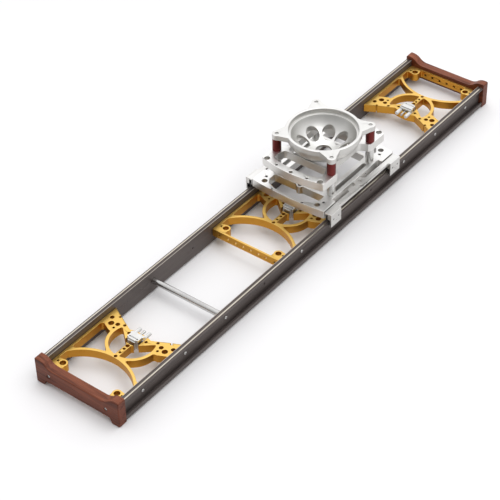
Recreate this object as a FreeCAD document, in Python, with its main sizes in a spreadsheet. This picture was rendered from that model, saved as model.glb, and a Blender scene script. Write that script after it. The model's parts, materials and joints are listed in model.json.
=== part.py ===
import FreeCAD, Part
import math
import os
import Sketcher

V = FreeCAD.Vector
doc = FreeCAD.newDocument("camera_slider")
sheet = doc.addObject("Spreadsheet::Sheet", "sizes")

# Every size in millimetres, angles in degrees. X runs along the rails, Z is up,
# the origin is on the floor at the middle of the slider.
SIZES = [
    ("rail_length", 886.0, "both rails, end to end"),
    ("rail_inner", 64.5, "middle plane to the inner face of a web"),
    ("rail_web", 2.9, "web thickness"),
    ("rail_reach", 73.8, "middle plane to the outer edge of the flanges"),
    ("rail_base", 3.0, "underside of the lower flange"),
    ("rail_top", 38.0, "top of the running track"),
    ("rail_flange", 3.0, "flange thickness"),
    ("rail_lip", 9.6, "top of the upturned lip"),
    ("rail_lip_wide", 2.6, "lip thickness"),
    ("rail_groove", 0.9, "depth of the groove beside the track"),
    ("track_in", 68.7, "inner edge of the running track"),
    ("track_out", 72.4, "outer edge of the running track"),
    ("hole_pitch", 89.0, "spacing of the web holes"),
    ("hole_level", 21.0, "height of the web holes"),
    ("hole_clear", 1.65, "radius of a web hole"),
    ("thread_bore", 1.55, "radius of a tapped hole for the small screws"),
    ("screw_shank", 1.5, "radius of a small screw"),
    ("screw_head", 2.7, "radius of a small screw head"),
    ("screw_head_tall", 1.5, "height of a small screw head"),
    ("socket_radius", 1.1, "hexagon socket, over the corners"),
    ("screw_reach", 6.5, "shank length in the rails"),
    ("cap_thick", 14.0, "end cap along X"),
    ("cap_half", 74.7, "half width of an end cap"),
    ("cap_horn", 43.4, "top of the horns"),
    ("cap_waist", 33.5, "top between the horns"),
    ("cap_under", 9.5, "underside between the feet"),
    ("cap_edge", 1.6, "rounded edges of the wood"),
    ("cap_screw_out", 51.0, "cap screws from the middle plane"),
    ("cap_screw_reach", 18.0, "cap screw shank length"),
    ("counterbore", 3.2, "radius of the cap screw seats"),
    ("counterbore_deep", 2.2, "depth of the cap screw seats"),
    ("bracket_base", 14.6, "underside of the brackets"),
    ("bracket_thick", 13.3, "bracket thickness"),
    ("bracket_half", 64.0, "half width of a bracket"),
    ("side_wall", 60.0, "inner face of a bracket side wall"),
    ("end_wall", 3.0, "bracket end wall"),
    ("boss_in", 13.0, "corner boss from the end face"),
    ("boss_out", 48.6, "corner boss from the middle plane"),
    ("boss_radius", 7.2, "corner boss"),
    ("boss_hole", 4.5, "corner hole"),
    ("arch_inner", 77.0, "arch rib, inner radius"),
    ("arch_outer", 81.5, "arch rib, outer radius"),
    ("arch_back", -15.0, "arch centre from the end face"),
    ("ring_in", 101.3, "ring centre from the end face"),
    ("ring_inner", 33.5, "ring, inner radius"),
    ("ring_outer", 38.5, "ring, outer radius"),
    ("bar_half", 3.75, "half width of the centre bar"),
    ("tip_in", 139.5, "tips of the arms from the end face"),
    ("nose_in", 120.0, "nose between the arms from the end face"),
    ("pocket_from", 95.0, "latch pocket, near wall"),
    ("pocket_to", 116.6, "latch pocket, far wall"),
    ("pocket_half", 11.5, "half width of the latch pocket"),
    ("mid_bracket_face", -88.0, "end face of the middle bracket"),
    ("pin_radius", 2.9, "latch guide pin"),
    ("pin_out", 8.6, "guide pins from the middle plane"),
    ("latch_screw", 1.9, "latch adjusting screw"),
    ("latch_level", 12.6, "latch pins above the underside of a bracket"),
    ("latch_under", 2.4, "latch block above the underside of a bracket"),
    ("latch_tall", 16.5, "latch block height"),
    ("pin_length", 19.0, "guide pins"),
    ("tube_radius", 4.75, "cross tube, outside"),
    ("tube_bore", 3.1, "cross tube, inside"),
    ("tube_at", 222.5, "cross tubes from the middle"),
    ("tube_half", 64.45, "half length of a cross tube"),
    ("tube_plug", 14.0, "solid length at each tube end"),
    ("carriage_x", 102.8, "middle of the carriage as stored"),
    ("plate_thick", 13.3, "carriage plates"),
    ("low_base", 43.9, "underside of the lower plate"),
    ("up_base", 82.0, "underside of the upper plate"),
    ("ear_under", 116.9, "underside of the bowl ears"),
    ("ear_thick", 8.4, "bowl ears"),
    ("post_half", 50.0, "posts from the carriage middle, both ways"),
    ("post_radius", 6.5, "posts"),
    ("stud_radius", 3.0, "stud through each post"),
    ("band_radius", 6.8, "coloured collars"),
    ("bowl_lip", 58.0, "bowl, outside radius at the rim"),
    ("bowl_mouth", 52.6, "bowl, seat radius at the rim"),
    ("bowl_seat_deep", 8.4, "depth of the straight seat"),
    ("bowl_floor", 40.0, "depth of the bowl inside, to its lowest point"),
    ("bowl_window", 10.2, "radius of the round windows"),
    ("bowl_window_out", 31.0, "round windows from the axis"),
    ("bowl_window_turn", 22.0, "first window, turned from the X axis"),
    ("bowl_bore", 12.0, "centre hole of the bowl"),
    ("truck_in", 67.0, "inner face of a truck beam"),
    ("truck_out", 75.0, "outer face of a truck beam"),
    ("truck_top", 55.0, "top of a truck beam"),
    ("truck_beam", 4.2, "beam thickness"),
    ("truck_end", 89.8, "half length of a truck"),
    ("block_long", 25.4, "end blocks along X"),
    ("block_base", 44.6, "underside of an end block"),
    ("leg_in", 76.9, "inner face of a leg plate"),
    ("leg_out", 79.2, "outer face of a leg plate"),
    ("leg_base", 32.4, "underside of a leg plate"),
    ("toe_in", 71.2, "toe reaches under the flange to here"),
    ("toe_top", 34.6, "top of the toe"),
    ("wheel_radius", 6.0, "running wheels"),
    ("wheel_wide", 3.6, "running wheel width"),
    ("wheel_gap", 0.25, "daylight under a wheel as stored"),
    ("wheel_half", 6.25, "wheels from the middle of a block"),
    ("axle_radius", 2.0, "wheel axles"),
    ("wheel_bore", 2.05, "wheel bores"),
]
for row, (alias, value, note) in enumerate(SIZES, start=1):
    sheet.set("A%d" % row, note)
    sheet.set("B%d" % row, str(value))
    sheet.setAlias("B%d" % row, alias)
doc.recompute()

made = []


def size(alias):
    return float(getattr(sheet, alias))


def bind(thing, path, formula):
    thing.setExpression(path, formula)


def cell(text):
    return "sizes." + text


# ---- plane geometry -------------------------------------------------------


def face_of(points):
    """A flat face through the points; a middle triple ("arc", a, b) bends to b through a."""
    edges = []
    here = V(points[0][0], points[0][1], 0)
    first = here
    for item in list(points[1:]) + [None]:
        if item is None:
            if here.distanceToPoint(first) > 1e-6:
                edges.append(Part.LineSegment(here, first).toShape())
            break
        if item[0] == "arc":
            middle = V(item[1][0], item[1][1], 0)
            there = V(item[2][0], item[2][1], 0)
            edges.append(Part.Arc(here, middle, there).toShape())
        else:
            there = V(item[0], item[1], 0)
            edges.append(Part.LineSegment(here, there).toShape())
        here = there
    return Part.Face(Part.Wire(edges))


def disc(x, y, radius):
    return Part.Face(Part.Wire(Part.makeCircle(radius, V(x, y, 0))))


def box_face(x0, x1, y0, y1):
    return face_of([(x0, y0), (x1, y0), (x1, y1), (x0, y1)])


def single(shape):
    """The largest face of a flat shape."""
    return max(shape.Faces, key=lambda face: face.Area)


def rounded(shape, radius):
    """The largest face of the shape with its outward corners rounded."""
    smaller = single(shape).makeOffset2D(-radius)
    return single(single(smaller).makeOffset2D(radius))


def turned(face):
    """The face mirrored in the X axis."""
    return face.mirror(V(0, 0, 0), V(0, 1, 0))


def swapped(face):
    """The face mirrored in the Y axis."""
    return face.mirror(V(0, 0, 0), V(1, 0, 0))


def draw(sketch, face):
    """Puts the edges of a flat face into a sketch."""
    for edge in face.Edges:
        ends = [v.Point for v in edge.Vertexes]
        if edge.Curve.TypeId == "Part::GeomLine":
            sketch.addGeometry(Part.LineSegment(ends[0], ends[1]), False)
        elif len(ends) == 1 or ends[0].distanceToPoint(ends[1]) < 1e-6:
            ring = Part.Circle(edge.Curve.Center, V(0, 0, 1), edge.Curve.Radius)
            sketch.addGeometry(ring, False)
        else:
            low, high = edge.ParameterRange
            middle = edge.valueAt((low + high) / 2)
            sketch.addGeometry(Part.Arc(edge.valueAt(low), middle, edge.valueAt(high)), False)


# ---- bodies ---------------------------------------------------------------


def new_body(name):
    body = doc.addObject("PartDesign::Body", name)
    body.Label = name
    made.append(body)
    return body


def new_sketch(body, name, role="XY_Plane", lift=None):
    sketch = body.newObject("Sketcher::SketchObject", name)
    plane = [f for f in body.Origin.OriginFeatures if f.Role == role][0]
    sketch.AttachmentSupport = [(plane, "")]
    sketch.MapMode = "FlatFace"
    if lift:
        bind(sketch, ".AttachmentOffset.Base.z", lift)
    return sketch


def pad(body, sketch, length, name):
    feature = body.newObject("PartDesign::Pad", name)
    feature.Profile = sketch
    bind(feature, "Length", length)
    body.Tip = feature
    doc.recompute()
    return feature


def pocket(body, sketch, length, name, both=False):
    feature = body.newObject("PartDesign::Pocket", name)
    feature.Profile = sketch
    feature.SideType = "Symmetric" if both else "One side"
    bind(feature, "Length", length)
    body.Tip = feature
    before = body.Shape.Volume if not body.Shape.isNull() else 0.0
    doc.recompute()
    if not both and body.Shape.Volume >= before - 1e-6:
        feature.Reversed = True
        doc.recompute()
    return feature


def circles(sketch, places):
    """Round holes: (x, y, radius) numbers, or (x, y, alias) bound to the sheet."""
    for x, y, radius in places:
        value = size(radius) if isinstance(radius, str) else radius
        index = sketch.addGeometry(Part.Circle(V(x, y, 0), V(0, 0, 1), value), False)
        if isinstance(radius, str):
            number = sketch.addConstraint(Sketcher.Constraint("Radius", index, value))
            bind(sketch, "Constraints[%d]" % number, cell(radius))


def place(thing, x="0", y="0", z="0", turn=0):
    """Stands a sub-part in the shared frame; x, y and z are formulas."""
    if turn:
        thing.Placement = FreeCAD.Placement(V(0, 0, 0), FreeCAD.Rotation(V(0, 0, 1), turn))
    for axis, formula in (("x", x), ("y", y), ("z", z)):
        if formula != "0":
            bind(thing, ".Placement.Base." + axis, formula)


def cylinder(name, radius, height, x="0", y="0", z="0", axis="z"):
    thing = doc.addObject("Part::Cylinder", name)
    bind(thing, "Radius", radius)
    bind(thing, "Height", height)
    turns = {"z": FreeCAD.Rotation(), "x": FreeCAD.Rotation(V(0, 1, 0), 90),
             "y": FreeCAD.Rotation(V(1, 0, 0), -90), "-y": FreeCAD.Rotation(V(1, 0, 0), 90)}
    thing.Placement = FreeCAD.Placement(V(0, 0, 0), turns[axis])
    for side, formula in (("x", x), ("y", y), ("z", z)):
        if formula != "0":
            bind(thing, ".Placement.Base." + side, formula)
    return thing


def fuse(name, things):
    whole = doc.addObject("Part::MultiFuse", name)
    whole.Shapes = things
    return whole


def cut(name, base, tool):
    whole = doc.addObject("Part::Cut", name)
    whole.Base = base
    whole.Tool = tool
    return whole


def label(thing, name):
    thing.Label = name
    made.append(thing)
    return thing


def gather(name, things):
    """One node of separate solids."""
    group = doc.addObject("Part::Compound", name)
    group.Links = things
    return label(group, name)


def round_edges(body, name, radius, wanted):
    """Rounds every edge of the tip that the test accepts."""
    shape = body.Shape
    names = ["Edge%d" % (n + 1) for n, edge in enumerate(shape.Edges) if wanted(edge)]
    base = body.Tip
    feature = body.newObject("PartDesign::Fillet", name)
    feature.Base = (base, names)
    bind(feature, "Radius", radius)
    body.Tip = feature
    doc.recompute()
    return feature


# ---- rails ----------------------------------------------------------------


def make_rail(name, side):
    """A channel open outwards; side is -1 on the right and 1 on the left."""
    inner = size("rail_inner")
    web = inner + size("rail_web")
    reach = size("rail_reach")
    base = size("rail_base")
    top = size("rail_top")
    flange = size("rail_flange")
    groove = top - size("rail_groove")
    body = new_body(name)
    section = new_sketch(body, name + "_section", "YZ_Plane")
    outline = [
        (inner, base), (reach, base), (reach, size("rail_lip")),
        (reach - size("rail_lip_wide"), size("rail_lip")),
        (reach - size("rail_lip_wide"), base + flange), (web, base + flange),
        (web, top - flange), (reach, top - flange), (reach, groove),
        (size("track_out"), groove), (size("track_out"), top),
        (size("track_in"), top), (size("track_in"), groove),
        (inner + 1.3, groove), (inner + 1.3, top - 0.2), (inner, top - 0.2),
    ]
    draw(section, face_of([(side * y, z) for y, z in outline]))
    pad(body, section, cell("rail_length"), name + "_bar")
    drill = new_sketch(body, name + "_drill", "XZ_Plane")
    first = size("rail_length") / 2 - 4.5 * size("hole_pitch")
    circles(drill, [(first, size("hole_level"), "hole_clear")])
    hole = pocket(body, drill, "2 * %s + 20" % cell("rail_reach"), name + "_hole", both=True)
    row = body.newObject("PartDesign::LinearPattern", name + "_row")
    row.Originals = [hole]
    row.Direction = (drill, ["H_Axis"])
    row.Occurrences = 10
    bind(row, "Length", "9 * " + cell("hole_pitch"))
    body.Tip = row
    doc.recompute()
    place(body, x="-%s / 2" % cell("rail_length"))
    return body


make_rail("rail_right", -1)
make_rail("rail_left", 1)


# ---- end caps -------------------------------------------------------------


def make_cap(name, near):
    half = size("cap_half")
    horn = size("cap_horn")
    waist = size("cap_waist")
    rise = horn - waist
    run = 13.0
    sweep = (run * run + rise * rise / 4) / rise
    dip = sweep - math.sqrt(sweep * sweep - run * run / 4)
    right = [
        (43, waist),
        ("arc", (43 + run / 2, waist + dip), (43 + run, waist + rise / 2)),
        ("arc", (43 + 1.5 * run, horn - dip), (43 + 2 * run, horn)),
        (half - 2.5, horn),
        ("arc", (half - 0.73, horn - 0.73), (half, horn - 2.5)),
        (half, 2.0), ("arc", (half - 0.59, 0.59), (half - 2.0, 0)), (61.5, 0), (58.6, 7.3),
        ("arc", (57.4, 8.9), (55.4, size("cap_under"))),
    ]
    left = [
        (-55.4, size("cap_under")),
        ("arc", (-57.4, 8.9), (-58.6, 7.3)),
        (-61.5, 0), (-half + 2.0, 0), ("arc", (-half + 0.59, 0.59), (-half, 2.0)),
        (-half, horn - 2.5),
        ("arc", (-half + 0.73, horn - 0.73), (-half + 2.5, horn)),
        (-43 - 2 * run, horn),
        ("arc", (-43 - 1.5 * run, horn - dip), (-43 - run, waist + rise / 2)),
        ("arc", (-43 - run / 2, waist + dip), (-43, waist)),
    ]
    body = new_body(name)
    outline = new_sketch(body, name + "_outline", "YZ_Plane")
    draw(outline, face_of(right + left))
    pad(body, outline, cell("cap_thick"), name + "_board")
    outer = 0.0 if near else size("cap_thick")

    def on_outer_face(edge):
        box = edge.BoundBox
        flat = abs(box.XMin - outer) < 0.01 and abs(box.XMax - outer) < 0.01
        return flat and box.ZMax > waist - 0.1

    round_edges(body, name + "_round", cell("cap_edge"), on_outer_face)
    drill = new_sketch(body, name + "_drill", "YZ_Plane")
    spots = [(side * size("cap_screw_out"), 21.0) for side in (-1, 1)]
    circles(drill, [(y, z, "hole_clear") for y, z in spots])
    pocket(body, drill, "4 * " + cell("cap_thick"), name + "_holes", both=True)
    seat = new_sketch(body, name + "_seat", "YZ_Plane",
                      None if near else cell("cap_thick"))
    circles(seat, [(y, z, "counterbore") for y, z in spots])
    pocket(body, seat, "2 * " + cell("counterbore_deep"), name + "_seats", both=True)
    if near:
        place(body, x="-%s / 2 - %s" % (cell("rail_length"), cell("cap_thick")))
    else:
        place(body, x="%s / 2" % cell("rail_length"))
    return body


make_cap("end_cap_near", True)
make_cap("end_cap_far", False)


# ---- brackets -------------------------------------------------------------


def bracket_face():
    """Plan of a bracket, end face at x = 0, arms reaching +x."""
    half = size("bracket_half")
    wall = size("side_wall")
    arch_x = size("arch_back")
    ring_x = size("ring_in")
    tip = size("tip_in")
    nose = size("nose_in")
    boss_x = size("boss_in")
    boss_y = size("boss_out")
    plan = face_of([
        (0, -half), (tip, -half), (tip - 1.5, -half + 3), (117.0, -19.0),
        ("arc", (nose - 0.4, -9.0), (nose, 0)),
        ("arc", (nose - 0.4, 9.0), (117.0, 19.0)),
        (tip - 1.5, half - 3), (tip, half), (0, half),
    ])
    arch = disc(arch_x, 0, size("arch_inner")).common(
        box_face(size("end_wall"), 80, -wall, wall))
    for side in (-1, 1):
        arch = arch.cut(disc(boss_x, side * boss_y, size("boss_radius")))
        arch = arch.cut(face_of([
            (0, side * (boss_y - 6.2)), (boss_x - 3.6, side * (boss_y - 6.2)),
            (boss_x + 6.6, side * (boss_y + 3.0)), (boss_x + 5.2, side * 61), (0, side * 61)]))
    arch = rounded(arch, 1.6)
    window = face_of([(30, 0), (94, 0), (99.6, 43.5), (107.3, wall), (30, wall)])
    window = window.cut(disc(arch_x, 0, size("arch_outer")))
    window = window.cut(disc(ring_x, 0, size("ring_outer")))
    window = rounded(window, 3.2)
    eye = disc(ring_x, 0, size("ring_inner")).common(
        face_of([(60, size("bar_half")), (92.4, size("bar_half")), (113.6, 29.0),
                 (113.6, 40), (60, 40)]))
    eye = rounded(eye, 1.6)
    pocket_hole = rounded(box_face(size("pocket_from"), size("pocket_to"),
                                   -size("pocket_half"), size("pocket_half")), 2.0)
    for hollow in (arch, window, turned(window), eye, turned(eye), pocket_hole):
        plan = plan.cut(hollow)
    return plan


BRACKET_PLAN = bracket_face()
LINE_HOLES = [(65.6, 2.4), (74.5, 1.9), (83.4, 2.1), (90.4, 2.9)]
ARM_HOLES = [
    (111.6, 48.5, 4.2), (121.5, 55.3, 3.2), (115.0, 39.4, 3.2), (106.6, 39.6, 1.9),
    (119.1, 30.1, 2.2), (128.6, 46.3, 2.0), (110.9, 15.6, 2.2), (66.0, 20.2, 1.9),
]


def make_bracket(name, face_formula, turn, near_rows):
    body = new_body(name)
    plan = new_sketch(body, name + "_plan")
    draw(plan, BRACKET_PLAN)
    pad(body, plan, cell("bracket_thick"), name + "_plate")
    drill = new_sketch(body, name + "_drill")
    spots = [(size("boss_in"), side * size("boss_out"), "boss_hole") for side in (-1, 1)]
    spots += [(size("boss_in"), side * 57.2, 1.6) for side in (-1, 1)]
    spots += [(x, 0, radius) for x, radius in LINE_HOLES]
    spots += [(x, side * y, radius) for x, y, radius in ARM_HOLES for side in (-1, 1)]
    circles(drill, spots)
    pocket(body, drill, "4 * " + cell("bracket_thick"), name + "_holes", both=True)
    middle = size("hole_level") - size("bracket_base")
    ends = new_sketch(body, name + "_ends", "YZ_Plane")
    circles(ends, [(side * y, middle, 2.0) for y in (7, 21, 35) for side in (-1, 1)])
    circles(ends, [(side * size("cap_screw_out"), middle, "thread_bore") for side in (-1, 1)])
    pocket(body, ends, "2 * 8.4", name + "_end_holes", both=True)
    for hand, sign in (("right", ""), ("left", "-")):
        sides = new_sketch(body, "%s_%s" % (name, hand), "XZ_Plane", sign + cell("bracket_half"))
        circles(sides, [(x, middle, "thread_bore") for x in near_rows])
        pocket(body, sides, "2 * 8", "%s_%s_holes" % (name, hand), both=True)
    guide = new_sketch(body, name + "_guide", "YZ_Plane", cell("nose_in"))
    level = size("latch_level")
    circles(guide, [(side * size("pin_out"), level, size("pin_radius") + 0.05)
                    for side in (-1, 1)])
    circles(guide, [(0, level, size("latch_screw") + 0.05)])
    pocket(body, guide, "2 * 12", name + "_guides", both=True)
    place(body, x=face_formula, z=cell("bracket_base"), turn=turn)
    return body


half_rail = "%s / 2" % cell("rail_length")
rows_end = [size("rail_length") / 2 - n * size("hole_pitch") for n in (4.5, 3.5)]
mid_face = size("mid_bracket_face")
rows_mid = [n * size("hole_pitch") - mid_face for n in (-0.5, 0.5)]
make_bracket("bracket_near", "-" + half_rail, 0, rows_end)
make_bracket("bracket_mid", cell("mid_bracket_face"), 0, rows_mid)
make_bracket("bracket_far", half_rail, 180, rows_end)


# ---- latches in the brackets ----------------------------------------------


def make_latch(where, face_formula, turn):
    name = "latch_block_" + where
    body = new_body(name)
    plan = new_sketch(body, name + "_plan")
    outline = face_of([
        (97.4, -6.4), (100.6, -6.4), (100.6, -9.6), (109.4, -9.6), (109.4, -11.2),
        (115.4, -11.2), (115.4, 11.2), (109.4, 11.2), (109.4, 9.6), (100.6, 9.6),
        (100.6, 6.4), (97.4, 6.4)])
    draw(plan, rounded(outline, 0.9))
    pad(body, plan, cell("latch_tall"), name + "_slab")
    tall = size("latch_tall")
    step = new_sketch(body, name + "_step", "XZ_Plane")
    draw(step, face_of([(96, tall - 2.2), (99.4, tall - 2.2), (99.4, tall + 1),
                        (96, tall + 1)]))
    draw(step, face_of([(112.6, tall - 1.8), (117, tall - 1.8), (117, tall + 1),
                        (112.6, tall + 1)]))
    pocket(body, step, "60", name + "_steps", both=True)
    rise = size("latch_level") - size("latch_under")
    bores = new_sketch(body, name + "_bores", "YZ_Plane", "116")
    circles(bores, [(side * size("pin_out"), rise, size("pin_radius") + 0.05)
                    for side in (-1, 1)])
    circles(bores, [(0, rise, size("latch_screw") + 0.05)])
    pocket(body, bores, "2 * 8", name + "_sockets", both=True)
    grub = new_sketch(body, name + "_grub", "XY_Plane", cell("latch_tall"))
    circles(grub, [(103.4, side * 6.6, 1.1) for side in (-1, 1)])
    pocket(body, grub, "2 * 3", name + "_grubs", both=True)
    place(body, x=face_formula, z="%s + %s" % (cell("bracket_base"), cell("latch_under")),
          turn=turn)
    sign = "-" if turn else "+"
    level = "%s + %s" % (cell("bracket_base"), cell("latch_level"))
    start = "%s %s (109 mm + 0)" % (face_formula, sign)
    parts = []
    for number, offset in enumerate((-1, 1)):
        pin = doc.addObject("Part::Cylinder", "latch_pin_%s_%d" % (where, number))
        bind(pin, "Radius", cell("pin_radius"))
        bind(pin, "Height", cell("pin_length"))
        tilt = -90 if turn else 90
        pin.Placement = FreeCAD.Placement(V(0, 0, 0), FreeCAD.Rotation(V(0, 1, 0), tilt))
        bind(pin, ".Placement.Base.x", start.replace(" mm + 0", ""))
        bind(pin, ".Placement.Base.y", "%d * %s" % (offset, cell("pin_out")))
        bind(pin, ".Placement.Base.z", level)
        bevel = doc.addObject("Part::Chamfer", "latch_pin_end_%s_%d" % (where, number))
        bevel.Base = pin
        doc.recompute()
        bevel.Edges = [(1, 0.5, 0.5), (3, 0.5, 0.5)]
        parts.append(bevel)
    gather("latch_pins_" + where, parts)
    screw = doc.addObject("Part::Cylinder", "latch_rod_" + where)
    bind(screw, "Radius", cell("latch_screw"))
    bind(screw, "Height", cell("pin_length") + " - 0.8")
    tilt = -90 if turn else 90
    screw.Placement = FreeCAD.Placement(V(0, 0, 0), FreeCAD.Rotation(V(0, 1, 0), tilt))
    bind(screw, ".Placement.Base.x", start.replace(" mm + 0", ""))
    bind(screw, ".Placement.Base.z", level)
    socket = doc.addObject("Part::Prism", "latch_socket_" + where)
    socket.Polygon = 6
    bind(socket, "Circumradius", cell("socket_radius"))
    socket.Height = 3
    socket.Placement = FreeCAD.Placement(V(0, 0, 0), FreeCAD.Rotation(V(0, 1, 0), tilt))
    bind(socket, ".Placement.Base.x",
         "%s %s (109 + %s - 0.8 - 2)" % (face_formula, sign, cell("pin_length")))
    bind(socket, ".Placement.Base.z", level)
    label(cut("latch_screw_" + where, screw, socket), "latch_screw_" + where)


make_latch("near", "-" + half_rail, 0)
make_latch("mid", cell("mid_bracket_face"), 0)
make_latch("far", half_rail, 180)


# ---- cross tubes ----------------------------------------------------------


def make_tube(name, sign):
    base_y = "-" + cell("tube_half")
    at = "%s%s" % (sign, cell("tube_at"))
    level = cell("hole_level")
    outer = cylinder(name + "_outer", cell("tube_radius"), "2 * " + cell("tube_half"),
                     at, base_y, level, "y")
    inner = cylinder(name + "_inner", cell("tube_bore"),
                     "2 * %s - 2 * %s" % (cell("tube_half"), cell("tube_plug")),
                     at, "-%s + %s" % (cell("tube_half"), cell("tube_plug")), level, "y")
    tap = cylinder(name + "_tap", cell("thread_bore"), "2 * %s + 2" % cell("tube_half"),
                   at, base_y + " - 1", level, "y")
    hollow = fuse(name + "_hollow", [inner, tap])
    label(cut(name, outer, hollow), name)


make_tube("cross_tube_near", "-")
make_tube("cross_tube_far", "")


# ---- small screws ---------------------------------------------------------


def make_screw(name, x, y, z, direction, reach):
    """Button head, shank running in the direction given, seat at x, y, z formulas."""
    turns = {
        "+y": FreeCAD.Rotation(V(1, 0, 0), -90), "-y": FreeCAD.Rotation(V(1, 0, 0), 90),
        "+x": FreeCAD.Rotation(V(0, 1, 0), 90), "-x": FreeCAD.Rotation(V(0, 1, 0), -90),
        "-z": FreeCAD.Rotation(V(1, 0, 0), 180),
    }
    body = doc.addObject("PartDesign::Body", name)
    outline = body.newObject("Sketcher::SketchObject", name + "_outline")
    plane = [f for f in body.Origin.OriginFeatures if f.Role == "XZ_Plane"][0]
    outline.AttachmentSupport = [(plane, "")]
    outline.MapMode = "FlatFace"
    head = size("screw_head")
    tall = size("screw_head_tall")
    shank = size("screw_shank")
    socket = size("socket_radius")
    draw(outline, face_of([
        (0, reach), (shank - 0.3, reach), (shank, reach - 0.3), (shank, 0), (head, 0),
        (head, -0.35 * tall), ("arc", (0.82 * head, -0.8 * tall), (0.55 * head, -tall)),
        (0, -tall)]))
    turn = body.newObject("PartDesign::Revolution", name + "_turn")
    turn.Profile = outline
    turn.ReferenceAxis = (outline, ["V_Axis"])
    turn.Angle = 360
    body.Tip = turn
    doc.recompute()
    hexagon = new_sketch(body, name + "_hexagon", "XY_Plane", "-" + cell("screw_head_tall"))
    draw(hexagon, face_of([
        (socket * math.cos(math.radians(60 * n)), socket * math.sin(math.radians(60 * n)))
        for n in range(6)]))
    pocket(body, hexagon, "2 * 0.65 * " + cell("screw_head_tall"), name + "_socket", both=True)
    body.Placement = FreeCAD.Placement(V(0, 0, 0), turns[direction])
    for axis, formula in (("x", x), ("y", y), ("z", z)):
        bind(body, ".Placement.Base." + axis, formula)
    return body


RAIL_ROWS = (0, 1, 2, 4, 5, 7, 8, 9)
for hand, sign, direction in (("right", "-", "+y"), ("left", "", "-y")):
    web_face = "%s(%s + %s)" % (sign, cell("rail_inner"), cell("rail_web"))
    gather("rail_screws_" + hand, [
        make_screw("rail_screw_%s_%d" % (hand, n), "%.1f * %s" % (n - 4.5, cell("hole_pitch")),
                   web_face, cell("hole_level"), direction, size("screw_reach"))
        for n in RAIL_ROWS])

for where, sign, direction in (("near", "-", "+x"), ("far", "", "-x")):
    seat_face = "%s(%s / 2 + %s - %s)" % (
        sign, cell("rail_length"), cell("cap_thick"), cell("counterbore_deep"))
    gather("cap_screws_" + where, [
        make_screw("cap_screw_%s_%d" % (where, n), seat_face,
                   "%d * %s" % (side, cell("cap_screw_out")), "21", direction,
                   size("cap_screw_reach"))
        for n, side in enumerate((-1, 1))])


# ---- carriage plates ------------------------------------------------------


def lower_face():
    """Plan of the lower plate about the carriage middle."""
    end = 94.9
    corner = 90.8
    plan = face_of([
        (-corner, -66), ("arc", (-end, 0), (-corner, 66)), (-60, 66), (-60, 59), (60, 59),
        (60, 66), (corner, 66), ("arc", (end, 0), (corner, -66)), (60, -66), (60, -59),
        (-60, -59), (-60, -66),
    ])
    plan = rounded(plan, 1.5)
    window = face_of([
        (-90.4, 0), ("arc", (-89.9, 13.2), (-88.4, 26.4)), (-83.6, 39.6), (-74.8, 45.5),
        (-60.8, 45.5), (-60.8, 7.0), (-60.8, -45.5), (-74.8, -45.5), (-83.6, -39.6),
        (-88.4, -26.4), ("arc", (-89.9, -13.2), (-90.4, 0)),
    ])
    window = window.cut(disc(-59.6, 0, 5.6))
    window = rounded(window, 2.4)
    middle = rounded(box_face(-55.2, 55.2, -38.0, 38.0), 4.5)
    slot = rounded(box_face(-41.0, 41.0, 45.4, 52.2), 3.2)
    for hollow in (window, swapped(window), middle, slot, turned(slot)):
        plan = plan.cut(hollow)
    return plan


def upper_face():
    """Plan of the upper plate about the carriage middle."""
    end = 86.3
    corner = 78.0
    lobe = [
        (-corner, -57), ("arc", (-end, 0), (-corner, 57)), (-44, 57), (-40, 54),
        (-36, 44), (-30, 40), (30, 40), (36, 44), (40, 54), (44, 57),
        (corner, 57), ("arc", (end, 0), (corner, -57)), (44, -57), (40, -54),
        (36, -44), (30, -40), (-30, -40), (-36, -44), (-40, -54), (-44, -57),
    ]
    plan = rounded(face_of(lobe), 3.0)
    window = face_of([
        (-74.8, 0), ("arc", (-74.2, 14), (-72.6, 28)), (-68.0, 42.0), (-58, 42.0),
        (-45.6, 38), (-45.6, -38), (-58, -42.0), (-68.0, -42.0),
        (-72.6, -28), ("arc", (-74.2, -14), (-74.8, 0)),
    ])
    window = rounded(window, 3.0)
    middle = rounded(box_face(-41.4, 41.4, -36.2, 36.2), 6.0)
    for hollow in (window, swapped(window), middle):
        plan = plan.cut(hollow)
    return plan


LUG_SCREWS = (-2.0, 8.0)
LOWER_HOLES = [(-82.8, 48.6, 4.4), (-72.8, 52.8, 2.1), (-92.2, 27.8, 1.7)]
UPPER_HOLES = [(-75.6, 48.6, 4.3), (-80.4, 27.7, 2.0)]


def four_ways(holes):
    spots = []
    for x, y, radius in holes:
        for way in (-1, 1):
            for side in (-1, 1):
                spots.append((way * x, side * y, radius))
    return spots


def make_plate(name, plan_face, base, holes):
    body = new_body(name)
    plan = new_sketch(body, name + "_plan")
    draw(plan, plan_face)
    pad(body, plan, cell("plate_thick"), name + "_plate")
    drill = new_sketch(body, name + "_drill")
    circles(drill, holes)
    pocket(body, drill, "4 * " + cell("plate_thick"), name + "_holes", both=True)
    place(body, x=cell("carriage_x"), z=base)
    return body


post = size("post_half")
post_spots = [(way * post, side * post, size("stud_radius") + 0.05)
              for way in (-1, 1) for side in (-1, 1)]
lower = make_plate("lower_plate", lower_face(), cell("low_base"),
                   four_ways(LOWER_HOLES) + post_spots + [(-59.6, 0, 3.0), (59.6, 0, 3.0)])
for hand, sign in (("right", ""), ("left", "-")):
    cross = new_sketch(lower, "lower_plate_cross_" + hand, "XZ_Plane", sign + "66")
    circles(cross, [(x, 6.9, 1.7) for x in (-76, 27, 76)])
    circles(cross, [(x, 9.0, size("thread_bore")) for x in LUG_SCREWS])
    pocket(lower, cross, "2 * 13.8", "lower_plate_cross_holes_" + hand, both=True)
upper = make_plate("upper_plate", upper_face(), cell("up_base"),
                   four_ways(UPPER_HOLES) + post_spots + [(-82.3, 0, 2.8), (82.3, 0, 2.8)])


# ---- posts, collars and studs ---------------------------------------------

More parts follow.
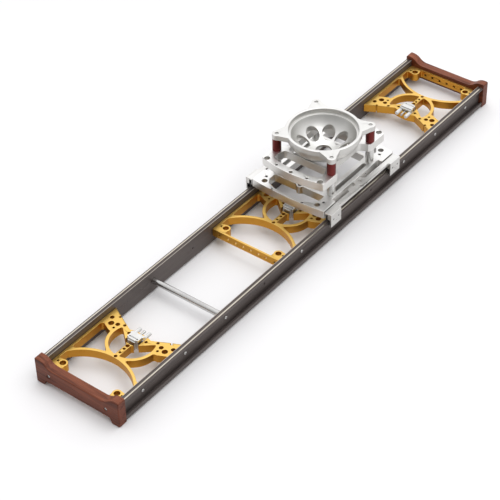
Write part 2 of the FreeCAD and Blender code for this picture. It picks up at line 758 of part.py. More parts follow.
CORNERS = [("front_right", "-", "-"), ("front_left", "-", ""),
           ("rear_right", "+", "-"), ("rear_left", "+", "")]
studs = []
for corner, way, side in CORNERS:
    at_x = "%s %s %s" % (cell("carriage_x"), way, cell("post_half"))
    at_y = "%s%s" % (side, cell("post_half"))
    low = "%s + %s" % (cell("low_base"), cell("plate_thick"))
    high = "%s + %s" % (cell("up_base"), cell("plate_thick"))
    stud_gap = "%s + 0.05" % cell("stud_radius")
    name = "post_" + corner
    outer = cylinder(name + "_bar", cell("post_radius"), "%s - (%s)" % (cell("up_base"), low),
                     at_x, at_y, low)
    inner = cylinder(name + "_bore", stud_gap, "100", at_x, at_y, low + " - 20")
    label(cut(name, outer, inner), name)
    name = "collar_" + corner
    outer = cylinder(name + "_bar", cell("band_radius"),
                     "%s - (%s)" % (cell("ear_under"), high), at_x, at_y, high)
    inner = cylinder(name + "_bore", stud_gap, "100", at_x, at_y, high + " - 20")
    label(cut(name, outer, inner), name)
    rod = cylinder("stud_rod_" + corner, cell("stud_radius"),
                   "%s + %s - 1.2 - %s" % (cell("ear_under"), cell("ear_thick"),
                                           cell("low_base")),
                   at_x, at_y, cell("low_base"))
    studs.append(rod)
gather("studs", studs)


# ---- bowl -----------------------------------------------------------------


def make_bowl():
    rim = size("ear_thick")
    lip = size("bowl_lip")
    mouth = size("bowl_mouth")
    seat = size("bowl_seat_deep")
    deep = size("bowl_floor")
    bore = size("bowl_bore")
    ledge = mouth - 3.1
    centre = (deep * deep - seat * seat - ledge * ledge) / (2 * (deep - seat))
    dome = deep - centre

    def inside(radius):
        """Level of the hollow at a distance from the axis."""
        return -centre - math.sqrt(dome * dome - radius * radius)

    body = new_body("bowl")
    section = new_sketch(body, "bowl_section", "XZ_Plane")
    draw(section, face_of([
        (bore, inside(bore)), ("arc", (33.0, inside(33.0)), (ledge, -seat)),
        (mouth, -seat), (mouth, -1.0), (mouth + 1.0, 0), (lip - 0.8, 0), (lip, -0.8),
        (lip, -rim), (56.5, -9.2), ("arc", (51.5, -22.0), (43.5, -29.6)),
        (35.4, -29.6), (34.0, -33.0), ("arc", (24.5, -39.2), (bore, -42.3))]))
    turn = body.newObject("PartDesign::Revolution", "bowl_turn")
    turn.Profile = section
    turn.ReferenceAxis = (section, ["V_Axis"])
    turn.Angle = 360
    body.Tip = turn
    doc.recompute()
    ears = new_sketch(body, "bowl_ears", "XY_Plane", "-" + cell("ear_thick"))
    plan = None
    for way in (-1, 1):
        for side in (-1, 1):
            x, y = way * post, side * post
            reach = 1 / math.sqrt(2)
            ear = disc(x, y, 7.4).fuse(face_of([
                (x + way * 7.4 * reach, y - side * 7.4 * reach),
                (x - way * 7.4 * reach, y + side * 7.4 * reach),
                (way * 26.0, side * 49.5), (way * 49.5, side * 26.0)]))
            ear = ear.cut(disc(0, 0, mouth + 2.2)).removeSplitter()
            plan = ear if plan is None else plan.fuse(ear)
    outer = []
    for face in plan.Faces:
        outer.append(face)
    for number, face in enumerate(outer):
        one = new_sketch(body, "bowl_ear_%d" % number, "XY_Plane", "-" + cell("ear_thick"))
        draw(one, face)
        pad(body, one, cell("ear_thick"), "bowl_ear_pad_%d" % number)
    drill = new_sketch(body, "bowl_drill")
    circles(drill, post_spots)
    pocket(body, drill, "4 * " + cell("bowl_floor"), "bowl_holes", both=True)
    window = new_sketch(body, "bowl_window")
    aim = math.radians(size("bowl_window_turn"))
    out = size("bowl_window_out")
    circles(window, [(out * math.cos(aim), out * math.sin(aim), "bowl_window")])
    hole = pocket(body, window, "4 * " + cell("bowl_floor"), "bowl_windows", both=True)
    ring = body.newObject("PartDesign::PolarPattern", "bowl_ring")
    ring.Originals = [hole]
    ring.Axis = (window, ["N_Axis"])
    ring.Angle = 360
    ring.Occurrences = 8
    body.Tip = ring
    doc.recompute()
    place(body, x=cell("carriage_x"), z="%s + %s" % (cell("ear_under"), cell("ear_thick")))
    return body


make_bowl()


# ---- trucks ---------------------------------------------------------------


def truck_face():
    """Plan of a truck beam, about the carriage middle; y counts outwards from the middle."""
    inner = size("truck_in")
    outer = size("truck_out")
    end = size("truck_end")
    block = end - size("block_long")
    wide = size("leg_in")
    plan = face_of([
        (-end, inner), (-26, inner), (-26, 64.5), (-24.5, 62.4), (-14.0, 62.4),
        ("arc", (-8.6, 64.6), (-6.4, 59.1)), (10.6, 59.1), ("arc", (13.6, 64.0), (16.6, 67.0)),
        (end, inner), (end, wide), (block, wide), (block, outer), (-block, outer),
        (-block, wide), (-end, wide),
    ])
    return plan


def make_truck(hand, side):
    name = "truck_" + hand
    body = new_body(name)
    plan = new_sketch(body, name + "_plan", "XY_Plane")
    face = truck_face()
    draw(plan, face if side > 0 else turned(face))
    pad(body, plan, cell("truck_beam"), name + "_beam")
    end = size("truck_end")
    block = size("block_long")
    blocks = new_sketch(body, name + "_blocks", "XY_Plane",
                        "%s - %s + %s" % (cell("block_base"), cell("truck_top"),
                                          cell("truck_beam")))
    for way in (-1, 1):
        x0, x1 = sorted((way * end, way * (end - block)))
        y0, y1 = sorted((side * size("truck_in"), side * size("leg_in")))
        draw(blocks, box_face(x0, x1, y0, y1))
    pad(body, blocks, "%s - %s" % (cell("truck_top"), cell("block_base")), name + "_ends")
    wells = new_sketch(body, name + "_wells", "XY_Plane",
                       "%s - %s + %s" % (cell("block_base"), cell("truck_top"),
                                         cell("truck_beam")))
    mid = (size("track_in") + size("track_out")) / 2
    wide = size("wheel_wide") / 2 + 0.35
    for way in (-1, 1):
        centre = way * (end - block / 2)
        reach = size("wheel_half") + size("wheel_radius") + 0.5
        y0, y1 = sorted((side * (mid - wide), side * (mid + wide)))
        draw(wells, box_face(centre - reach, centre + reach, y0, y1))
    pocket(body, wells, "8.1", name + "_wheel_wells")
    axle_level = "%s + %s + %s - %s + %s" % (
        cell("rail_top"), cell("wheel_gap"), cell("wheel_radius"), cell("truck_top"),
        cell("truck_beam"))
    level = (size("rail_top") + size("wheel_gap") + size("wheel_radius")
             - size("truck_top") + size("truck_beam"))
    bores = new_sketch(body, name + "_bores", "XZ_Plane")
    spots = []
    for way in (-1, 1):
        for shift in (-1, 1):
            spots.append((way * (end - block / 2) + shift * size("wheel_half"), level,
                          size("axle_radius") + 0.03))
    circles(bores, spots)
    pocket(body, bores, "4 * " + cell("truck_out"), name + "_axle_bores", both=True)
    drill = new_sketch(body, name + "_drill")
    circles(drill, [(-5.4, side * 72.6, 1.8), (4.0, side * 65.4, 1.7)])
    pocket(body, drill, "4 * " + cell("truck_beam"), name + "_holes", both=True)
    lugs = new_sketch(body, name + "_lug_drill", "XZ_Plane")
    circles(lugs, [(x, 2.1, size("thread_bore")) for x in LUG_SCREWS])
    pocket(body, lugs, "4 * 66", name + "_lug_holes", both=True)
    place(body, x=cell("carriage_x"), z="%s - %s" % (cell("truck_top"), cell("truck_beam")))
    return axle_level


for hand, side in (("right", -1), ("left", 1)):
    make_truck(hand, side)


def make_leg(name, way, side):
    """An L-shaped leg plate: its toe hooks under the rail flange."""
    body = new_body(name)
    section = new_sketch(body, name + "_section", "YZ_Plane")
    outline = [(size("leg_in"), size("truck_top")), (size("leg_out"), size("truck_top")),
               (size("leg_out"), size("leg_base")), (size("toe_in"), size("leg_base")),
               (size("toe_in"), size("toe_top")), (size("leg_in"), size("toe_top"))]
    draw(section, face_of([(side * y, z) for y, z in outline]))
    pad(body, section, cell("block_long"), name + "_plate")
    drill = new_sketch(body, name + "_drill", "XZ_Plane")
    middle = size("block_long") / 2
    level = size("rail_top") + size("wheel_gap") + size("wheel_radius")
    circles(drill, [(middle - size("wheel_half"), level, size("axle_radius") + 0.03),
                    (middle + size("wheel_half"), level, size("axle_radius") + 0.03),
                    (middle, 39.8, 0.9)])
    pocket(body, drill, "4 * " + cell("leg_out"), name + "_holes", both=True)
    start = "%s %s %s" % (cell("carriage_x"), "+" if way > 0 else "-", cell("truck_end"))
    if way > 0:
        start += " - " + cell("block_long")
    place(body, x=start)
    return body


def make_wheel(name, way, shift, side):
    body = new_body(name)
    outline = new_sketch(body, name + "_outline", "XY_Plane")
    radius = size("wheel_radius")
    bore = size("wheel_bore")
    half = size("wheel_wide") / 2
    draw(outline, face_of([
        (bore, -half - 0.2), (bore + 1.2, -half - 0.2), (bore + 1.2, -half + 0.3),
        (radius - 1.3, -half + 0.3), (radius - 1.3, -half), (radius - 0.4, -half),
        (radius, -half + 0.4), (radius, half - 0.4), (radius - 0.4, half),
        (radius - 1.3, half), (radius - 1.3, half - 0.3), (bore + 1.2, half - 0.3),
        (bore + 1.2, half + 0.2), (bore, half + 0.2)]))
    turn = body.newObject("PartDesign::Revolution", name + "_turn")
    turn.Profile = outline
    turn.ReferenceAxis = (outline, ["V_Axis"])
    turn.Angle = 360
    body.Tip = turn
    doc.recompute()
    place(body,
          x="%s %s (%s - %s / 2) %s %s" % (
              cell("carriage_x"), "+" if way > 0 else "-", cell("truck_end"),
              cell("block_long"), "+" if shift > 0 else "-", cell("wheel_half")),
          y="%s(%s + %s) / 2" % ("" if side > 0 else "-", cell("track_in"), cell("track_out")),
          z="%s + %s + %s" % (cell("rail_top"), cell("wheel_gap"), cell("wheel_radius")))
    return body


def socket_rod(name, radius, side, x, start, end, z):
    """A rod along Y between two distances from the middle plane, its outer end socketed."""
    axis = "y" if side > 0 else "-y"
    sign = "" if side > 0 else "-"
    rod = cylinder(name + "_rod", radius, "%s - (%s)" % (end, start), x,
                   "%s(%s)" % (sign, start), z, axis)
    socket = doc.addObject("Part::Prism", name + "_socket")
    socket.Polygon = 6
    bind(socket, "Circumradius", cell("socket_radius"))
    socket.Height = 4
    tilt = -90 if side > 0 else 90
    socket.Placement = FreeCAD.Placement(V(0, 0, 0), FreeCAD.Rotation(V(1, 0, 0), tilt))
    bind(socket, ".Placement.Base.x", x)
    bind(socket, ".Placement.Base.y", "%s(%s - 1.4)" % (sign, end))
    bind(socket, ".Placement.Base.z", z)
    return cut(name, rod, socket)


for hand, side in (("right", -1), ("left", 1)):
    axles = []
    for end_name, way in (("front", -1), ("rear", 1)):
        make_leg("leg_%s_%s" % (end_name, hand), way, side)
        for number, shift in enumerate((-1, 1), start=1):
            make_wheel("wheel_%s_%s_%d" % (end_name, hand, number), way, shift, side)
            at_x = "%s %s (%s - %s / 2) %s %s" % (
                cell("carriage_x"), "+" if way > 0 else "-", cell("truck_end"),
                cell("block_long"), "+" if shift > 0 else "-", cell("wheel_half"))
            level = "%s + %s + %s" % (cell("rail_top"), cell("wheel_gap"), cell("wheel_radius"))
            axles.append(socket_rod(
                "axle_%s_%s_%d" % (end_name, hand, number), cell("axle_radius"), side,
                at_x, cell("truck_in") + " + 0.1", cell("leg_out") + " - 0.3", level))
    gather("axles_" + hand, axles)
    level = "%s - %s + 2.1" % (cell("truck_top"), cell("truck_beam"))
    gather("lug_screws_" + hand, [
        socket_rod("lug_screw_%s_%d" % (hand, number), cell("screw_shank"), side,
                   "%s + %.1f" % (cell("carriage_x"), x), "53", cell("truck_out") + " - 0.4",
                   level)
        for number, x in enumerate(LUG_SCREWS, start=1)])


# ---- check and write ------------------------------------------------------

doc.recompute()
bad = []
for thing in doc.Objects:
    if "Invalid" in thing.State or "Error" in thing.State:
        bad.append("%s %s" % (thing.Name, thing.State))
for thing in made:
    if thing.Shape.isNull() or not thing.Shape.isValid():
        bad.append("%s has no valid shape" % thing.Label)
    elif thing.TypeId == "PartDesign::Body" and len(thing.Shape.Solids) != 1:
        bad.append("%s has %d solids" % (thing.Label, len(thing.Shape.Solids)))
if bad:
    raise SystemExit("\n".join(bad))

os.makedirs("parts", exist_ok=True)
for old in os.listdir("parts"):
    if old.endswith(".step"):
        os.remove(os.path.join("parts", old))
for thing in made:
    thing.Shape.exportStep("parts/%s.step" % thing.Label)
print(len(made), "nodes written")
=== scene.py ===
import json
import math

import bpy
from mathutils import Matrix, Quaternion, Vector

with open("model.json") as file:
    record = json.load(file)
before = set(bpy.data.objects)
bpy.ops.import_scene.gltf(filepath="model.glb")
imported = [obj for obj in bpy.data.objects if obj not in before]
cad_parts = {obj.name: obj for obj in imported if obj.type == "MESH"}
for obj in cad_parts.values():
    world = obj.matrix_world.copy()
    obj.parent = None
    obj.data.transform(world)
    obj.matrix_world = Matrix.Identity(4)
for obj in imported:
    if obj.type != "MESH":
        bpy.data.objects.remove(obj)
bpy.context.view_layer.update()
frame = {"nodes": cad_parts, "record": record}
NODES = frame["nodes"]
SLOT_OF = {row["node"]: row["material_slot"] for row in frame["record"]["subparts"]}
MM = 0.001


# ---- node trees -----------------------------------------------------------


class Look:
    """A procedural material under construction."""

    # Upright share of a face's normal: below the first it is a wall, above the second level.
    WALL, LEVEL = 0.35, 0.92

    def __init__(self, slot):
        self.material = bpy.data.materials.new(slot + "_look")
        self.material.use_nodes = True
        self.tree = self.material.node_tree
        self.tree.nodes.clear()
        self.out = self.add("ShaderNodeOutputMaterial")
        self.shader = self.add("ShaderNodeBsdfPrincipled")
        self.link(self.shader.outputs["BSDF"], self.out.inputs["Surface"])
        place = self.add("ShaderNodeTexCoord")
        self.coords = place.outputs["Object"]
        self.normal = place.outputs["Normal"]

    def add(self, kind, **settings):
        node = self.tree.nodes.new(kind)
        for key, value in settings.items():
            setattr(node, key, value)
        return node

    def link(self, source, target):
        self.tree.links.new(source, target)

    def fill(self, socket, value):
        """Links a socket to another node's output, or sets it to a number."""
        if isinstance(value, (int, float)):
            socket.default_value = value
        else:
            self.link(value, socket)

    def set(self, **values):
        """Numbers on the shader's own sockets."""
        for key, value in values.items():
            self.shader.inputs[key.replace("_", " ")].default_value = value

    def drive(self, **sources):
        """Shader sockets that vary over the surface."""
        for key, source in sources.items():
            self.link(source, self.shader.inputs[key.replace("_", " ")])

    def axis(self, source, name):
        split = self.add("ShaderNodeSeparateXYZ")
        self.link(source, split.inputs["Vector"])
        return split.outputs[name]

    def stretched(self, scale=(1, 1, 1), shift=(0, 0, 0)):
        """Object coordinates, scaled and moved."""
        node = self.add("ShaderNodeMapping")
        self.link(self.coords, node.inputs["Vector"])
        node.inputs["Scale"].default_value = scale
        node.inputs["Location"].default_value = shift
        return node.outputs["Vector"]

    def noise(self, vector, scale, detail, rough=0.5, distortion=0.0):
        node = self.add("ShaderNodeTexNoise")
        self.link(vector, node.inputs["Vector"])
        node.inputs["Scale"].default_value = scale
        node.inputs["Detail"].default_value = detail
        node.inputs["Roughness"].default_value = rough
        node.inputs["Distortion"].default_value = distortion
        return node.outputs["Fac"]

    def math(self, operation, *values):
        node = self.add("ShaderNodeMath", operation=operation)
        for socket, value in zip(node.inputs, values):
            self.fill(socket, value)
        return node.outputs[0]

    def blend(self, a, share, b):
        """The given share of a, and b for the rest."""
        return self.math("ADD", self.math("MULTIPLY", a, share),
                         self.math("MULTIPLY", b, 1 - share))

    def spread(self, value, low, high, to_low=0.0, to_high=1.0, smooth=False):
        """A value between low and high brought to the span from to_low to to_high."""
        node = self.add("ShaderNodeMapRange")
        if smooth:
            node.interpolation_type = "SMOOTHSTEP"
        self.link(value, node.inputs["Value"])
        for key, number in (("From Min", low), ("From Max", high),
                            ("To Min", to_low), ("To Max", to_high)):
            node.inputs[key].default_value = number
        return node.outputs["Result"]

    def mix(self, factor, a, b):
        """Colour a where the factor is 0 and b where it is 1."""
        node = self.add("ShaderNodeMix", data_type="RGBA")
        self.link(factor, node.inputs["Factor"])
        for socket, value in ((node.inputs[6], a), (node.inputs[7], b)):
            if isinstance(value, tuple):
                socket.default_value = (*value, 1.0)
            else:
                self.link(value, socket)
        return node.outputs[2]

    def mix_numbers(self, factor, a, b):
        """Number a where the factor is 0 and b where it is 1."""
        node = self.add("ShaderNodeMix", data_type="FLOAT")
        for socket, value in zip(node.inputs, (factor, None, a, b)):
            if value is not None:
                self.link(value, socket)
        return node.outputs[0]

    def shade_walls(self, blend, dark, light, wall_shade):
        """Level faces in the two given tones, walls in painted shade: deeper tones, given as a
        share of these.
        """
        upright = self.math("ABSOLUTE", self.axis(self.normal, "Z"))
        level = self.spread(upright, self.WALL, self.LEVEL, smooth=True)
        # Painted shade: walls take the given tones darkened by the given share.
        shaded_tones = [tuple(value * share for value, share in zip(tone, wall_shade)) for tone in (dark, light)]
        return self.mix(level, self.mix(blend, *shaded_tones), self.mix(blend, dark, light))

    def bump(self, height, depth):
        """Relief of the given depth in millimetres."""
        node = self.add("ShaderNodeBump")
        node.inputs["Strength"].default_value = 1.0
        node.inputs["Distance"].default_value = depth * MM
        self.link(height, node.inputs["Height"])
        self.drive(Normal=node.outputs["Normal"])


# ---- kinds of surface -----------------------------------------------------
# sheen is the span of the roughness; light and dark are the two ends of the tone; the wall share
# darkens walls as painted shade.


def anodised(slot, light, dark, sheen, grain, depth, wall_shade=(1, 1, 1)):
    """Blasted and anodised metal: fine grain, faint patches of tone, uneven sheen, and painted
    shade on walls.
    """
    look = Look(slot)
    fine = look.noise(look.stretched(), grain, detail=3.0, rough=0.6)
    patch = look.noise(look.stretched(), 22.0, detail=4.0, rough=0.55)
    blend = look.blend(fine, 0.35, patch)
    look.drive(Base_Color=look.shade_walls(look.spread(blend, 0.38, 0.62), dark, light, wall_shade),
               Roughness=look.spread(blend, 0.3, 0.7, *sheen))
    look.bump(fine, depth)
    look.set(Metallic=1.0)
    return look.material


def milled(slot, light, dark, sheen, along, pitch):
    """Machined and clear anodised metal with faint tool lines along the given axis, and painted
    shade on walls.
    """
    look = Look(slot)
    narrow = [1.0 if name == along else 14.0 for name in "xyz"]
    # Painted shade: walls keep this share of the tones.
    wall_shade = (0.82, 0.815, 0.80)
    lines = look.noise(look.stretched(narrow), pitch, detail=5.0, rough=0.62)
    patch = look.noise(look.stretched(), 30.0, detail=3.0)
    grain = look.noise(look.stretched(), 2600.0, detail=2.0)
    blend = look.blend(lines, 0.5, patch)
    look.drive(Base_Color=look.shade_walls(look.spread(blend, 0.36, 0.64), dark, light, wall_shade),
               Roughness=look.spread(blend, 0.32, 0.68, *sheen))
    look.bump(look.blend(lines, 0.6, grain), 0.02)
    look.set(Metallic=1.0)
    return look.material


def turned(slot, light, dark, sheen, grain):
    """Turned steel: fine grain, and scratches that lie level."""
    look = Look(slot)
    fine = look.noise(look.stretched(), grain, detail=3.0, rough=0.55)
    scratch = look.noise(look.stretched((3, 3, 90)), 14.0, detail=4.0, rough=0.6)
    blend = look.blend(fine, 0.4, scratch)
    look.drive(Base_Color=look.mix(look.spread(blend, 0.36, 0.64), dark, light),
               Roughness=look.spread(blend, 0.32, 0.68, *sheen))
    look.bump(blend, 0.012)
    look.set(Metallic=1.0)
    return look.material


def moulded(slot, light, dark, sheen):
    """Moulded polymer with a fine texture."""
    look = Look(slot)
    grain = look.noise(look.stretched(), 1800.0, detail=3.0, rough=0.6)
    patch = look.noise(look.stretched(), 160.0, detail=3.0)
    look.drive(Base_Color=look.mix(look.spread(patch, 0.35, 0.65), dark, light),
               Roughness=look.spread(grain, 0.3, 0.7, *sheen))
    look.bump(grain, 0.02)
    look.set(Metallic=0.0)
    return look.material


def walnut(slot):
    """Oiled reddish walnut, grain along Y, with open pores, and painted shade on walls."""
    look = Look(slot)
    light, dark, pit_tone = (0.265, 0.078, 0.036), (0.066, 0.016, 0.008), (0.035, 0.012, 0.008)
    # Painted shade: walls keep this share of the tones.
    wall_shade = (0.72, 0.62, 0.58)
    warp = look.noise(look.stretched((30.0, 5.0, 30.0)), 1.0, detail=3.0)
    wide = look.noise(look.stretched((1.0, 0.055, 1.0)), 95.0, 6.0, 0.62, distortion=0.6)
    fine = look.noise(look.stretched((1.0, 0.022, 1.0), (0.3, 0.1, 0.2)), 900.0, 4.0, 0.6)
    pores = look.noise(look.stretched((1.0, 0.05, 1.0), (0.7, 0.4, 0.9)), 1500.0, detail=2.0)
    wave = look.math("ADD", wide, look.math("MULTIPLY", warp, 0.35))
    rings = look.math("SINE", look.math("MULTIPLY", wave, 30.0))
    tone = look.math("ADD", look.math("MULTIPLY", rings, 0.07), wide)
    tone = look.math("ADD", look.math("MULTIPLY", tone, 0.75), look.math("MULTIPLY", fine, 0.3))
    body = look.shade_walls(look.spread(tone, 0.30, 0.72), dark, light, wall_shade)
    pit = look.spread(pores, 0.60, 0.68)
    look.drive(Base_Color=look.mix(look.math("MULTIPLY", pit, 0.6), body, pit_tone),
               Roughness=look.spread(tone, 0.3, 0.75, 0.52, 0.38))
    look.bump(look.math("SUBTRACT", look.math("MULTIPLY", fine, 0.3), pit), 0.06)
    look.set(Metallic=0.0, Specular_IOR_Level=0.22)
    return look.material


def rail_painted_glints(look):
    """Where light is painted on a rail: the polished running bead in a light painted highlight
    tone, and a painted highlight along the inner edge of its top.
    """
    rail = NODES["rail_left"]
    corners = [rail.matrix_world @ Vector(corner) for corner in rail.bound_box]
    inner = min(corner.y for corner in corners)
    top = max(corner.z for corner in corners)
    # Painted highlight: a light band along the rail's top, and a lighter inner edge of the top.
    bead_and_glint_from, bead_and_glint_to, fade = inner + 4.9 * MM, inner + 7.2 * MM, 0.5 * MM
    edge_glint_from, edge_glint_to = inner + 0.6 * MM, inner + 1.1 * MM
    side = look.math("ABSOLUTE", look.axis(look.coords, "Y"))
    height = look.axis(look.coords, "Z")
    across = look.math("MULTIPLY", look.spread(side, bead_and_glint_from, bead_and_glint_from + fade),
                       look.spread(side, bead_and_glint_to, bead_and_glint_to - fade))
    bead_and_glint = look.math("MULTIPLY", across, look.spread(height, top - 0.65 * MM, top - 0.55 * MM))
    painted_edge_glint = look.math("MULTIPLY", look.spread(side, edge_glint_to, edge_glint_from),
                     look.spread(height, top - 0.5 * MM, top - 0.3 * MM))
    return bead_and_glint, painted_edge_glint


def rail(slot):
    """Dark bronze anodising drawn along the bar, with a polished running bead whose light tone is a
    painted highlight, and a painted highlight on the inner edge of its top.
    """
    look = Look(slot)
    bead_and_glint, painted_edge_glint = rail_painted_glints(look)
    drawn = look.noise(look.stretched((1.0, 60.0, 60.0)), 26.0, detail=5.0, rough=0.65)
    grain = look.noise(look.stretched(), 2200.0, detail=2.0)
    patch = look.noise(look.stretched(), 9.0, detail=4.0)
    blend = look.blend(drawn, 0.6, patch)
    bronze = look.mix(look.spread(blend, 0.36, 0.64), (0.075, 0.060, 0.055), (0.120, 0.099, 0.091))
    # Painted highlight: the inner edge of the top is lightened.
    bronze = look.mix(look.math("MULTIPLY", painted_edge_glint, 0.8), bronze, (0.42, 0.38, 0.33))
    # The bead's light tone is a painted highlight; its low roughness and full metal stand for its
    # polish.
    bead_glint_tone = look.mix(look.spread(drawn, 0.35, 0.65), (0.50, 0.45, 0.37), (0.66, 0.61, 0.53))
    matt = look.spread(blend, 0.3, 0.7, 0.42, 0.54)
    shine = look.spread(drawn, 0.3, 0.7, 0.16, 0.28)
    look.drive(Base_Color=look.mix(bead_and_glint, bronze, bead_glint_tone),
               Roughness=look.mix_numbers(bead_and_glint, matt, shine),
               Metallic=look.spread(bead_and_glint, 0.0, 1.0, 0.4, 1.0))
    look.bump(look.blend(drawn, 0.7, grain), 0.018)
    return look.material


# ---- one look for each material slot --------------------------------------

# Each wall share below darkens the tones on walls as painted shade.
LOOKS = {
    "walnut": walnut("walnut"),
    "rail_dark": rail("rail_dark"),
    "gold": anodised(
        "gold", light=(0.82, 0.54, 0.155), dark=(0.73, 0.46, 0.115),
        sheen=(0.34, 0.46), grain=1600.0, depth=0.02, wall_shade=(0.74, 0.56, 0.30)),
    "plate_silver": milled(
        "plate_silver", light=(0.90, 0.892, 0.88), dark=(0.81, 0.803, 0.79),
        sheen=(0.30, 0.42), along="y", pitch=60.0),
    "bowl_silver": anodised(
        "bowl_silver", light=(0.78, 0.775, 0.76), dark=(0.70, 0.695, 0.68),
        sheen=(0.34, 0.44), grain=1900.0, depth=0.02, wall_shade=(0.80, 0.795, 0.78)),
    "truck_silver": milled(
        "truck_silver", light=(0.79, 0.782, 0.77), dark=(0.69, 0.682, 0.67),
        sheen=(0.28, 0.40), along="x", pitch=60.0),
    "latch_silver": milled(
        "latch_silver", light=(0.76, 0.755, 0.74), dark=(0.64, 0.635, 0.62),
        sheen=(0.26, 0.40), along="y", pitch=90.0),
    "pin_white": moulded(
        "pin_white", light=(0.72, 0.72, 0.71), dark=(0.60, 0.60, 0.59), sheen=(0.20, 0.34)),
    "post_steel": turned(
        "post_steel", light=(0.66, 0.655, 0.64), dark=(0.55, 0.545, 0.53),
        sheen=(0.16, 0.26), grain=700.0),
    "tube_steel": turned(
        "tube_steel", light=(0.60, 0.595, 0.59), dark=(0.48, 0.475, 0.47),
        sheen=(0.16, 0.28), grain=600.0),
    "screw_steel": turned(
        "screw_steel", light=(0.56, 0.555, 0.54), dark=(0.44, 0.435, 0.42),
        sheen=(0.20, 0.32), grain=1500.0),
    "collar_red": anodised(
        "collar_red", light=(0.170, 0.034, 0.032), dark=(0.120, 0.023, 0.022),
        sheen=(0.34, 0.46), grain=1500.0, depth=0.04),
    "wheel_black": moulded(
        "wheel_black", light=(0.024, 0.023, 0.022), dark=(0.012, 0.012, 0.012),
        sheen=(0.38, 0.52)),
}


# ---- broken edges ---------------------------------------------------------

# Width of the broken edge in millimetres; a slot that is not here keeps its modelled edges.
EDGE = {
    "rail_dark": 0.2, "gold": 0.4, "plate_silver": 0.4, "bowl_silver": 0.4,
    "truck_silver": 0.35, "latch_silver": 0.3, "post_steel": 0.35, "tube_steel": 0.25,
    "collar_red": 0.4, "wheel_black": 0.2,
}
SHARP = math.radians(40)


def break_edges(node, width):
    """Joins the imported corners, bevels the edges and evens the shading."""
    weld = node.modifiers.new("weld", "WELD")
    weld.merge_threshold = 0.001 * MM
    bevel = node.modifiers.new("bevel", "BEVEL")
    bevel.width = width * MM
    bevel.segments = 2
    bevel.limit_method = "ANGLE"
    bevel.angle_limit = SHARP
    bevel.use_clamp_overlap = False
    even = node.modifiers.new("even", "WEIGHTED_NORMAL")
    even.keep_sharp = False
    even.weight = 70


for name, node in NODES.items():
    slot = SLOT_OF[name]
    node.data.materials.clear()
    node.data.materials.append(LOOKS[slot])
    if slot in EDGE:
        break_edges(node, EDGE[slot])


# ---- floor, light and camera ----------------------------------------------

FLOOR_HALF = 6.0
FLOOR_SQUARES = 12
FLOOR_LEVEL = -0.2 * MM

PANEL_AT = Vector((0.15, -0.55, 2.4))
PANEL_SIDE = 2.2
PANEL_WATTS = 24.0

# The studio is brightest towards BRIGHT_SIDE: high up, past the far end cap.
BRIGHT_SIDE = (0.62, 0.25, 0.64)
STUDIO_SPAN = (-0.60, 0.90)
STUDIO_LIGHT = (0.36, 1.28)

# Where the camera aims, how far off it stands, and its angles in degrees.
CAMERA_AIM = Vector((-67.73, 9.87, 0.0)) * MM
CAMERA_OFF = 2483.43 * MM
CAMERA_AZIMUTH, CAMERA_ELEVATION, CAMERA_ROLL = -141.3238, 40.2505, 1.4373
SENSOR_MM, LENS_MM = 36.0, 120.876


def put(name, data, at=(0, 0, 0), turn=(1, 0, 0, 0)):
    """A new object in the scene."""
    thing = bpy.data.objects.new(name, data)
    thing.location = at
    thing.rotation_mode = "QUATERNION"
    thing.rotation_quaternion = turn
    bpy.context.scene.collection.objects.link(thing)
    return thing


def floor_look():
    """Matt pale paper with faint clouds."""
    look = Look("floor")
    cloud = look.noise(look.stretched(), 3.0, detail=3.0)
    dark, light = (0.80, 0.795, 0.805), (0.82, 0.815, 0.825)
    look.drive(Base_Color=look.mix(look.spread(cloud, 0.3, 0.7), dark, light))
    look.set(Roughness=0.8, Specular_IOR_Level=0.1)
    return look.material


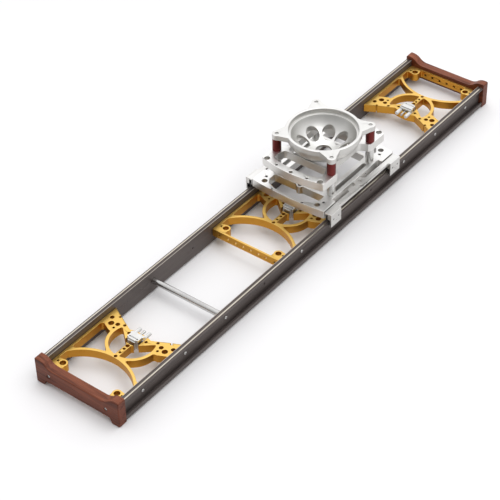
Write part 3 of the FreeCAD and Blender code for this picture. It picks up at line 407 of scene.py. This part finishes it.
def make_floor():
    """A level grid just under the object's feet."""
    row = FLOOR_SQUARES + 1
    marks = [FLOOR_HALF * (2 * i / FLOOR_SQUARES - 1) for i in range(row)]
    points = [(x, y, FLOOR_LEVEL) for x in marks for y in marks]
    quads = [(i * row + j, (i + 1) * row + j, (i + 1) * row + j + 1, i * row + j + 1)
             for i in range(FLOOR_SQUARES) for j in range(FLOOR_SQUARES)]
    mesh = bpy.data.meshes.new("floor")
    mesh.from_pydata(points, [], quads)
    mesh.materials.append(floor_look())
    floor = put("floor", mesh)


def make_panel():
    """One large soft light overhead, aimed at the middle of the track."""
    light = bpy.data.lights.new("key", "AREA")
    light.shape = "RECTANGLE"
    light.size = PANEL_SIDE
    light.size_y = PANEL_SIDE
    light.energy = PANEL_WATTS
    put("key", light, PANEL_AT, (-PANEL_AT).to_track_quat("-Z", "Y"))


def make_world():
    """A white studio, brightest on its bright side and dimmest behind the camera."""
    world = bpy.data.worlds.new("studio")
    world.use_nodes = True
    tree = world.node_tree
    background = tree.nodes["Background"]
    background.inputs["Color"].default_value = (1.0, 1.0, 1.0, 1.0)
    coords = tree.nodes.new("ShaderNodeTexCoord")
    towards = tree.nodes.new("ShaderNodeVectorMath")
    towards.operation = "DOT_PRODUCT"
    towards.inputs[1].default_value = BRIGHT_SIDE
    span = tree.nodes.new("ShaderNodeMapRange")
    span.interpolation_type = "SMOOTHSTEP"
    for key, number in zip(("From Min", "From Max", "To Min", "To Max"),
                           (*STUDIO_SPAN, *STUDIO_LIGHT)):
        span.inputs[key].default_value = number
    tree.links.new(coords.outputs["Generated"], towards.inputs[0])
    tree.links.new(towards.outputs["Value"], span.inputs["Value"])
    tree.links.new(span.outputs["Result"], background.inputs["Strength"])
    bpy.context.scene.world = world


def make_camera():
    """The camera at the photograph's angle."""
    azimuth, elevation = math.radians(CAMERA_AZIMUTH), math.radians(CAMERA_ELEVATION)
    outward = Vector((math.cos(elevation) * math.cos(azimuth),
                      math.cos(elevation) * math.sin(azimuth), math.sin(elevation)))
    roll = Quaternion((0, 0, 1), math.radians(-CAMERA_ROLL))
    data = bpy.data.cameras.new("camera")
    data.sensor_width = SENSOR_MM
    data.lens = LENS_MM
    data.clip_start = 0.1
    data.clip_end = 30.0
    turn = (-outward).to_track_quat("-Z", "Y") @ roll
    bpy.context.scene.camera = put("camera", data, CAMERA_AIM + CAMERA_OFF * outward, turn)


make_floor()
make_world()
make_panel()
make_camera()
bpy.context.scene.view_settings.view_transform = "Standard"
